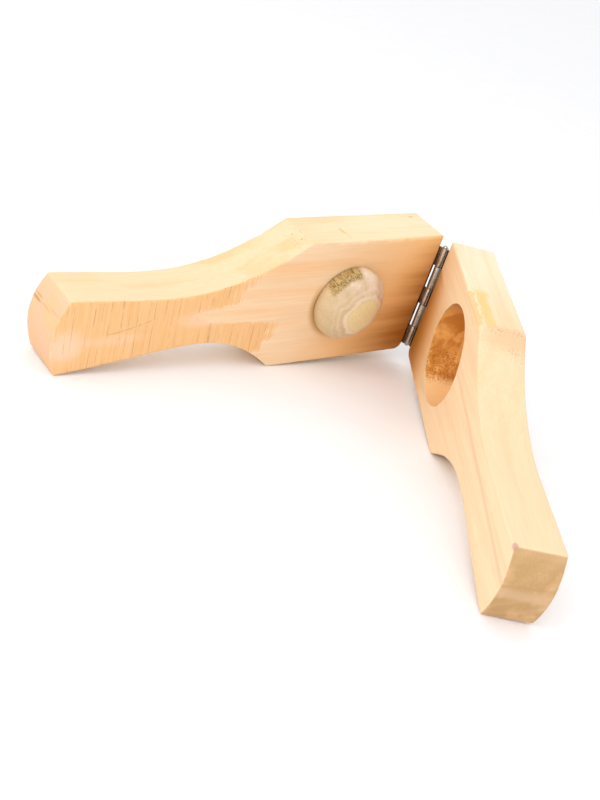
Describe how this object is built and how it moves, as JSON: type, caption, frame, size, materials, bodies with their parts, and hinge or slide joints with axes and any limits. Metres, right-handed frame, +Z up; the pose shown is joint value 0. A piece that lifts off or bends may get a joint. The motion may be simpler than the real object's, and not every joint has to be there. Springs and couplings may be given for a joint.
{
  "type": "hinged nutcracker",
  "caption": "Hinged wooden hand nutcracker: two shaped arms on a steel butt hinge, one with a turned pressing knob and one with a drilled cup for the nut.",
  "frame": {"origin": "middle of the box's underside, on the surface that the nutcracker stands on", "axes": "+X from the knob arm to the cup arm, +Y from the handles to the hinge, +Z up"},
  "size_m": [0.2424, 0.192, 0.0768],
  "materials": {
    "arm_wood": "sanded bare pale hardwood, rough-sawn on the knob arm's inner handle face",
    "knob_wood": "turned wood, satin, with growth rings around its top",
    "hinge_steel": "plain rolled steel with a dull zinc film",
    "screw_steel": "yellow zinc-plated countersunk wood screws"
  },
  "bodies": {
    "cup_side": {"cup_arm": "arm_wood", "hinge_leaf_cup_side": "hinge_steel", "hinge_pin": "hinge_steel", "cup_side_hinge_screw_1": "screw_steel", "cup_side_hinge_screw_2": "screw_steel", "cup_side_hinge_screw_3": "screw_steel"},
    "knob_side": {"knob_arm": "arm_wood", "knob": "knob_wood", "knob_screw": "screw_steel", "hinge_leaf_knob_side": "hinge_steel", "knob_side_hinge_screw_1": "screw_steel", "knob_side_hinge_screw_2": "screw_steel", "knob_side_hinge_screw_3": "screw_steel"}
  },
  "joints": [
    {"name": "arms_hinge", "type": "hinge", "parent": "cup_side", "child": "knob_side", "pos_m": [0.001, 0.08366, 0.04061], "axis": [0, 0.1038, -0.9946], "range_deg": [-58, 122]}
  ]
}
